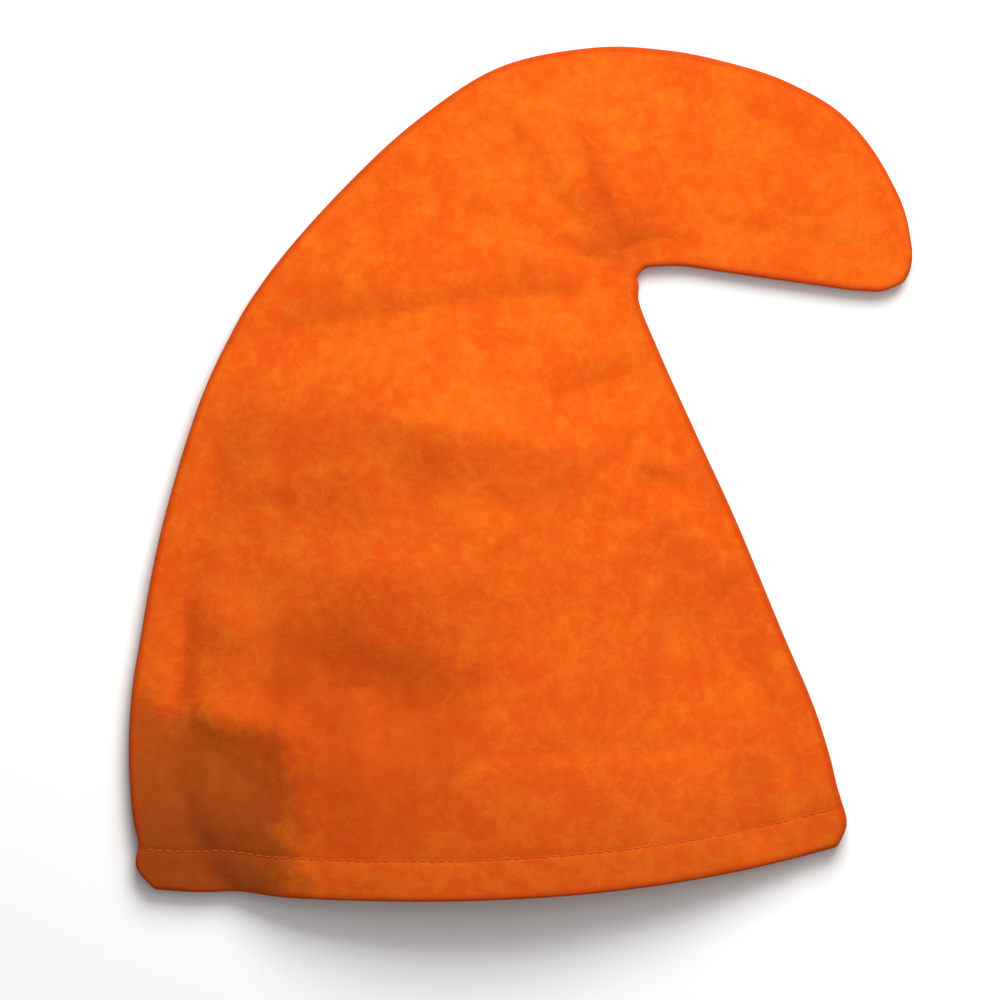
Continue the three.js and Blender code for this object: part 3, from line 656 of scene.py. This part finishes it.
def needled_felt(colours):
    """Needle-punched polyester felt: matted fibres that scatter the light, so it is matt and softly
    mottled, with a faint bloom where it turns away from the eye."""
    material = bpy.data.materials.new("needled_felt_orange")
    material.use_nodes = True
    tree = material.node_tree
    tree.nodes.clear()
    place = add_node(tree, "ShaderNodeTexCoord")
    spot = place.outputs["Object"]

    # Uneven dye in patches of a few centimetres, and matted tufts of a few millimetres.
    patches = add_node(
        tree, "ShaderNodeTexNoise", inputs={"Scale": per_metre(36), "Detail": 4.0, "Roughness": 0.6},
        links={"Vector": spot},
    )
    blotches = add_node(
        tree, "ShaderNodeTexNoise",
        inputs={"Scale": per_metre(15), "Detail": 4.0, "Roughness": 0.65, "Distortion": 0.5},
        links={"Vector": spot},
    )
    tufts = add_node(
        tree, "ShaderNodeTexNoise",
        inputs={"Scale": per_metre(6), "Detail": 4.0, "Roughness": 0.6, "Distortion": 0.6},
        links={"Vector": spot},
    )
    # Fibres are about 0.02 mm thick, too fine to show, so they are drawn in bundles of about 1 mm.
    fibres = add_node(
        tree, "ShaderNodeTexNoise",
        inputs={"Scale": per_metre(1.6), "Detail": 5.0, "Roughness": 0.7, "Distortion": 1.4},
        links={"Vector": spot},
    )

    def laid_over(under, colour, share):
        """Mixes a colour over the socket under it."""
        return add_node(
            tree, "ShaderNodeMix", settings={"data_type": "RGBA"}, inputs={"B": colour},
            links={"A": under, "Factor": share},
        ).outputs["Result"]

    def blend(grain, low, high, share, under, colour):
        """Lays a colour over another where a noise is high, up to a share of it."""
        tone = add_node(
            tree, "ShaderNodeMapRange", inputs={"From Min": low, "From Max": high, "To Max": share},
            links={"Value": grain.outputs["Fac"]},
        )
        return laid_over(under, colour, tone.outputs["Result"])

    patch_tone = add_node(
        tree, "ShaderNodeMapRange", inputs={"From Min": 0.38, "From Max": 0.62, "To Max": 0.55},
        links={"Value": patches.outputs["Fac"]},
    )
    dye = add_node(
        tree, "ShaderNodeMix", settings={"data_type": "RGBA"}, inputs={"A": colours.felt, "B": colours.felt_warm},
        links={"Factor": patch_tone.outputs["Result"]},
    ).outputs["Result"]
    dye = blend(blotches, 0.5, 0.68, 0.36, dye, colours.felt_light)
    dye = blend(blotches, 0.5, 0.32, 0.42, dye, colours.felt_warm)
    dye = blend(tufts, 0.48, 0.68, 0.34, dye, colours.felt_light)
    dye = blend(tufts, 0.52, 0.34, 0.26, dye, colours.felt_warm)
    dye = blend(fibres, 0.3, 0.7, 0.3, dye, colours.felt_deep_and_painted_shade)

    # Painted shade: the back corner of the hem is darkened, with a soft, uneven edge, the felt beside it a
    # little less, and the felt along the rim a little, more towards the hem.
    sway = add_node(
        tree, "ShaderNodeVectorMath", settings={"operation": "MULTIPLY_ADD"},
        inputs={1: (0.044, 0.044, 0.0), 2: (-0.022, -0.022, 0.0)}, links={0: blotches.outputs["Color"]},
    )
    swayed = add_node(
        tree, "ShaderNodeVectorMath", settings={"operation": "ADD"}, links={0: spot, 1: sway.outputs["Vector"]}
    )
    parts = add_node(tree, "ShaderNodeSeparateXYZ", links={"Vector": swayed.outputs["Vector"]})
    behind = add_node(
        tree, "ShaderNodeMapRange", settings={"interpolation_type": "SMOOTHSTEP"},
        inputs={"From Min": -0.084, "From Max": -0.108}, links={"Value": parts.outputs["X"]},
    )
    slant = add_node(
        tree, "ShaderNodeMath", settings={"operation": "MULTIPLY_ADD"}, inputs={1: 0.34, 2: 0.041}, links={0: parts.outputs["X"]}
    )
    height = add_node(
        tree, "ShaderNodeMath", settings={"operation": "ADD"}, links={0: parts.outputs["Y"], 1: slant.outputs["Value"]}
    )
    below = add_node(
        tree, "ShaderNodeMapRange", settings={"interpolation_type": "SMOOTHSTEP"},
        inputs={"From Min": -0.1, "From Max": -0.122}, links={"Value": height.outputs["Value"]},
    )
    corner = add_node(
        tree, "ShaderNodeMath", settings={"operation": "MULTIPLY"},
        links={0: behind.outputs["Result"], 1: below.outputs["Result"]},
    )
    from_corner = add_node(
        tree, "ShaderNodeVectorMath", settings={"operation": "DISTANCE"}, inputs={1: (-0.15, -0.17, 0.01)}, links={0: spot}
    )
    depth = add_node(
        tree, "ShaderNodeMapRange", inputs={"From Min": 0.085, "From Max": 0.015, "To Min": 0.42, "To Max": 0.72},
        links={"Value": from_corner.outputs["Value"]},
    )
    # Share of painted shade at the hem's back corner, deepest nearest the corner.
    painted_corner_shade = add_node(
        tree, "ShaderNodeMath", settings={"operation": "MULTIPLY"},
        links={0: corner.outputs["Value"], 1: depth.outputs["Result"]},
    )
    # Painted shade beside the hem's back corner, lighter than at the corner itself.
    beside = add_node(
        tree, "ShaderNodeVectorMath", settings={"operation": "DISTANCE"}, inputs={1: (-0.068, -0.107, 0.035)},
        links={0: swayed.outputs["Vector"]},
    )
    painted_shade_beside = add_node(
        tree, "ShaderNodeMapRange", settings={"interpolation_type": "SMOOTHSTEP"},
        inputs={"From Min": 0.066, "From Max": 0.036, "To Max": 0.46}, links={"Value": beside.outputs["Value"]},
    )
    # Painted shade along the rim, darker towards the hem.
    painted_rim_shade = add_node(
        tree, "ShaderNodeMapRange", settings={"interpolation_type": "SMOOTHSTEP"},
        inputs={"From Min": -0.11, "From Max": -0.165, "To Max": 0.16}, links={"Value": parts.outputs["Y"]},
    )
    # Lays the painted shade over the dye: along the rim, beside the corner and at the corner.
    dye = laid_over(dye, colours.felt_painted_shade, painted_rim_shade.outputs["Result"])
    dye = laid_over(dye, colours.felt_deep_and_painted_shade, painted_shade_beside.outputs["Result"])
    dye = laid_over(dye, colours.felt_painted_shade, painted_corner_shade.outputs["Value"])

    # Painted shade: the felt is darker near the folded edges of the seam and the hem.
    from_edge = add_node(
        tree, "ShaderNodeAttribute", settings={"attribute_type": "GEOMETRY", "attribute_name": EDGE_ATTRIBUTE}
    )
    painted_edge_shade = add_node(
        tree, "ShaderNodeMapRange", settings={"interpolation_type": "SMOOTHSTEP"},
        inputs={"From Min": 3.6, "From Max": 0.9, "To Max": 0.62}, links={"Value": from_edge.outputs["Fac"]},
    )
    dye = laid_over(dye, colours.felt_painted_edge_shade, painted_edge_shade.outputs["Result"])
    tuft_bump = add_node(
        tree, "ShaderNodeBump", inputs={"Strength": 0.35, "Distance": 0.0006}, links={"Height": tufts.outputs["Fac"]}
    )
    fibre_bump = add_node(
        tree, "ShaderNodeBump", inputs={"Strength": 0.55, "Distance": 0.0004},
        links={"Height": fibres.outputs["Fac"], "Normal": tuft_bump.outputs["Normal"]},
    )
    shader = add_node(
        tree, "ShaderNodeBsdfPrincipled",
        inputs={
            "Roughness": 0.94,
            "IOR": 1.5,
            "Specular IOR Level": 0.08,
            "Sheen Weight": 0.12,
            "Sheen Roughness": 0.55,
            "Sheen Tint": colours.bloom,
        },
        links={"Base Color": dye, "Normal": fibre_bump.outputs["Normal"]},
    )
    add_node(tree, "ShaderNodeOutputMaterial", links={"Surface": shader.outputs["BSDF"]})
    return material


def spun_thread(colours):
    """Spun polyester thread: smoother than the felt, so its stitches catch a little more light."""
    material = bpy.data.materials.new("spun_polyester_thread")
    material.use_nodes = True
    tree = material.node_tree
    tree.nodes.clear()
    place = add_node(tree, "ShaderNodeTexCoord")
    twist = add_node(
        tree, "ShaderNodeTexNoise", inputs={"Scale": per_metre(0.5), "Detail": 2.0}, links={"Vector": place.outputs["Object"]}
    )
    tone = add_node(
        tree, "ShaderNodeMix", settings={"data_type": "RGBA"}, inputs={"A": colours.thread, "B": colours.felt_deep_and_painted_shade},
        links={"Factor": twist.outputs["Fac"]},
    )
    bump = add_node(
        tree, "ShaderNodeBump", inputs={"Strength": 0.3, "Distance": 0.0001}, links={"Height": twist.outputs["Fac"]}
    )
    shader = add_node(
        tree, "ShaderNodeBsdfPrincipled", inputs={"Roughness": 0.7, "IOR": 1.5, "Specular IOR Level": 0.3},
        links={"Base Color": tone.outputs["Result"], "Normal": bump.outputs["Normal"]},
    )
    add_node(tree, "ShaderNodeOutputMaterial", links={"Surface": shader.outputs["BSDF"]})
    return material


def matt_floor(colours):
    """Matt painted board: plain, pale and even."""
    material = bpy.data.materials.new("matt_painted_board")
    material.use_nodes = True
    tree = material.node_tree
    tree.nodes.clear()
    shader = add_node(
        tree, "ShaderNodeBsdfPrincipled", inputs={"Base Color": colours.floor, "Roughness": 0.9, "Specular IOR Level": 0.2}
    )
    add_node(tree, "ShaderNodeOutputMaterial", links={"Surface": shader.outputs["BSDF"]})
    return material


# Settings


class HatShapeSettings(bpy.types.PropertyGroup):
    felt: bpy.props.FloatProperty(
        name="Felt thickness", description="Thickness of one layer of felt", default=1.6 * MM, unit="LENGTH"
    )
    seam_margin: bpy.props.FloatProperty(
        name="Seam margin", description="Felt turned inside along the seam", default=12 * MM, unit="LENGTH"
    )
    hem_depth: bpy.props.FloatProperty(
        name="Hem depth", description="Felt turned up inside the head opening", default=19.5 * MM, unit="LENGTH"
    )
    layer_gap: bpy.props.FloatProperty(
        name="Layer gap", description="Gap between the two panels at the seam", default=0.3 * MM, unit="LENGTH"
    )
    body_loft: bpy.props.FloatProperty(
        name="Body loft", description="Rise of the upper panel above its seams", default=32 * MM, unit="LENGTH"
    )
    beak_loft: bpy.props.FloatProperty(
        name="Beak loft", description="Rise of the upper panel over the beak", default=3 * MM, unit="LENGTH"
    )
    shoulder: bpy.props.FloatProperty(
        name="Shoulder", description="Width of the hollow inside a seam margin", default=8 * MM, unit="LENGTH"
    )
    shoulder_depth: bpy.props.FloatProperty(
        name="Shoulder depth", description="Depth of that hollow", default=0.4 * MM, unit="LENGTH"
    )
    crease_strength: bpy.props.FloatProperty(
        name="Crease strength", description="How strongly the small creases show", default=1.0, subtype="FACTOR"
    )
    stitch_line: bpy.props.FloatProperty(
        name="Stitch line", description="Distance of the hem's stitches from its edge", default=17.6 * MM, unit="LENGTH"
    )
    stitch_groove: bpy.props.FloatProperty(
        name="Stitch groove", description="How deep the hem's stitches pull the felt in", default=0.35 * MM, unit="LENGTH"
    )
    stitch_pitch: bpy.props.FloatProperty(
        name="Stitch pitch", description="Distance from one stitch to the next", default=4.0 * MM, unit="LENGTH"
    )
    thread: bpy.props.FloatProperty(
        name="Thread", description="Thickness of the sewing thread", default=0.5 * MM, unit="LENGTH"
    )


class HatColourSettings(bpy.types.PropertyGroup):
    felt: bpy.props.FloatVectorProperty(
        name="Felt", description="Main colour of the felt",
        size=4, subtype="COLOR", default=linear_colour("DA5C0E")
    )
    felt_warm: bpy.props.FloatVectorProperty(
        name="Warm patches", description="Redder patches of the dye",
        size=4, subtype="COLOR", default=linear_colour("D4480B")
    )
    felt_light: bpy.props.FloatVectorProperty(
        name="Light tufts", description="Lighter tufts of fibre",
        size=4, subtype="COLOR", default=linear_colour("E47518")
    )
    # Darker fibre colour, and also the painted shade beside the hem's back corner.
    felt_deep_and_painted_shade: bpy.props.FloatVectorProperty(
        name="Deep fibres and painted shade", description="Darker gaps between the fibres, and painted shade beside the back corner",
        size=4, subtype="COLOR", default=linear_colour("B9400A")
    )
    # Painted shade over the hem's back corner and along the rim.
    felt_painted_shade: bpy.props.FloatVectorProperty(
        name="Painted shade, corner and rim", description="Painted shade at the hem's back corner and along the rim",
        size=4, subtype="COLOR", default=linear_colour("74340F")
    )
    # Painted shade along the folded edges of the seam and the hem.
    felt_painted_edge_shade: bpy.props.FloatVectorProperty(
        name="Edges", description="Painted shade along the folded edges",
        size=4, subtype="COLOR", default=linear_colour("AE3408")
    )
    bloom: bpy.props.FloatVectorProperty(
        name="Bloom", description="Colour of the loose fibres' sheen",
        size=4, subtype="COLOR", default=linear_colour("F08030")
    )
    thread: bpy.props.FloatVectorProperty(
        name="Thread", description="Colour of the sewing thread",
        size=4, subtype="COLOR", default=linear_colour("D65A10")
    )
    floor: bpy.props.FloatVectorProperty(
        name="Floor", description="Colour of the floor",
        size=4, subtype="COLOR", default=linear_colour("F4F4F2")
    )


# Operators


def dressed(piece, material, *nodes):
    """Finishes a piece: its material, the body it rides on and the CAD nodes it stands for."""
    piece.data.materials.append(material)
    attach(piece, BODY)
    if nodes:
        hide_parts(*nodes)


def felt_material(context):
    return bpy.data.materials.get("needled_felt_orange") or needled_felt(context.scene.hat_colours)


def thread_material(context):
    return bpy.data.materials.get("spun_polyester_thread") or spun_thread(context.scene.hat_colours)


class HAT_OT_felt_panels(bpy.types.Operator):
    """Adds the two felt side panels, with their margins and hem turned in"""

    bl_idname = "hat.felt_panels"
    bl_label = "Felt panels"

    def execute(self, context):
        plan = HatPlan(context.scene.hat_shape)
        offset = plan.offset
        felt = felt_material(context)
        for name, node, upper, under in (
            ("felt_left_side", LOWER_NODE, False, []),
            ("felt_right_side", UPPER_NODE, True, ["felt_left_side"]),
        ):
            panel = felt_panel(name, plan, upper, offset)
            dressed(panel, felt, node)
        return {"FINISHED"}


class HAT_OT_hem_thread(bpy.types.Operator):
    """Adds the stitches that hold the turned-up hem"""

    bl_idname = "hat.hem_thread"
    bl_label = "Hem thread"

    def execute(self, context):
        shape = context.scene.hat_shape
        plan = HatPlan(shape)
        offset = plan.offset
        bm = bmesh.new()
        places = []
        for upper in (True, False):
            sink = 0.0001 if upper else -0.0004
            for centre, along in walk(hem_line(plan, upper, offset), shape.stitch_pitch):
                up = Vector((0, 0, 1 if upper else -1))
                up = (up - along * up.dot(along)).normalized()
                places.append((centre + up * sink, along, up))
        add_stitches(bm, places, 0.8 * shape.stitch_pitch, shape.thread / 2)
        dressed(new_object("hem_thread", mesh_from(bm, "hem_thread")), thread_material(context))
        return {"FINISHED"}


class HAT_OT_seam_thread(bpy.types.Operator):
    """Adds the stitches that join the two panels, deep in the seam"""

    bl_idname = "hat.seam_thread"
    bl_label = "Seam thread"

    def execute(self, context):
        shape = context.scene.hat_shape
        plan = HatPlan(shape)
        bm = bmesh.new()
        up = Vector((0, 0, 1))
        line = walk(seam_line(plan, plan.offset), 0.8 * shape.stitch_pitch)
        places = [(centre, up, up.cross(along).normalized()) for centre, along in line]
        add_stitches(bm, places, 2.6 * shape.thread, 0.4 * shape.thread)
        dressed(new_object("seam_thread", mesh_from(bm, "seam_thread")), thread_material(context))
        return {"FINISHED"}


class HAT_OT_stage(bpy.types.Operator):
    """Adds the pale floor, the soft lights and the camera that looks straight down"""

    bl_idname = "hat.stage"
    bl_label = "Stage"

    def execute(self, context):
        scene = context.scene
        bm = bmesh.new()
        bmesh.ops.create_grid(bm, x_segments=1, y_segments=1, size=6.0)
        floor = new_object("floor", mesh_from(bm, "floor", smooth=False))
        floor.data.materials.append(matt_floor(scene.hat_colours))
        floor.location.z = -0.0002

        # Each light has a name, a place, a width in metres and a power in watts, and faces the hat's middle.
        lights = (
            ("key_light", (0.24, 0.84, 0.96), 0.85, 22.0),
            ("fill_light", (0.3, 0.2, 1.9), 1.6, 13.6),
        )
        for name, place, size, watts in lights:
            light = bpy.data.lights.new(name, "AREA")
            light.size = size
            light.energy = watts
            lamp = new_object(name, light)
            lamp.location = place
            lamp.rotation_mode = "QUATERNION"
            lamp.rotation_quaternion = (-Vector(place)).to_track_quat("-Z", "Y")

        world = bpy.data.worlds.new("soft_white_room")
        scene.world = world
        world.use_nodes = True
        background = world.node_tree.nodes["Background"]
        background.inputs["Color"].default_value = linear_colour("F2F4F6")
        background.inputs["Strength"].default_value = 0.2
        scene.view_settings.view_transform = "Standard"

        lens = bpy.data.cameras.new("camera")
        lens.sensor_width = 36.0
        camera = new_object("camera", lens)
        # The photograph's 1000 pixels span 428.6 mm at the seam's height.
        distance, seam_height, span = 6.0, 0.0045, 0.4286
        lens.lens = lens.sensor_width * distance / span
        camera.location = (-0.0086, -0.0114, distance + seam_height)
        lens.clip_end = 20.0
        scene.camera = camera
        return {"FINISHED"}


class HAT_PT_sidebar(bpy.types.Panel):
    """Lists the hat's pieces and settings in the sidebar"""

    bl_idname = "HAT_PT_sidebar"
    bl_label = "Gnome hat"
    bl_space_type = "VIEW_3D"
    bl_region_type = "UI"
    bl_category = "Gnome hat"

    def draw(self, context):
        for operator in OPERATORS:
            self.layout.operator(operator.bl_idname)
        for settings in (context.scene.hat_shape, context.scene.hat_colours):
            box = self.layout.box()
            for name in settings.__annotations__:
                box.prop(settings, name)


OPERATORS = (HAT_OT_felt_panels, HAT_OT_hem_thread, HAT_OT_seam_thread, HAT_OT_stage)
CLASSES = (HatShapeSettings, HatColourSettings, *OPERATORS, HAT_PT_sidebar)


def register():
    for cls in CLASSES:
        bpy.utils.register_class(cls)
    bpy.types.Scene.hat_shape = bpy.props.PointerProperty(type=HatShapeSettings)
    bpy.types.Scene.hat_colours = bpy.props.PointerProperty(type=HatColourSettings)


def unregister():
    del bpy.types.Scene.hat_colours
    del bpy.types.Scene.hat_shape
    for cls in reversed(CLASSES):
        bpy.utils.unregister_class(cls)


def main():
    register()
    bpy.ops.hat.felt_panels()
    bpy.ops.hat.hem_thread()
    bpy.ops.hat.seam_thread()
    bpy.ops.hat.stage()


if __name__ == "__main__":
    main()
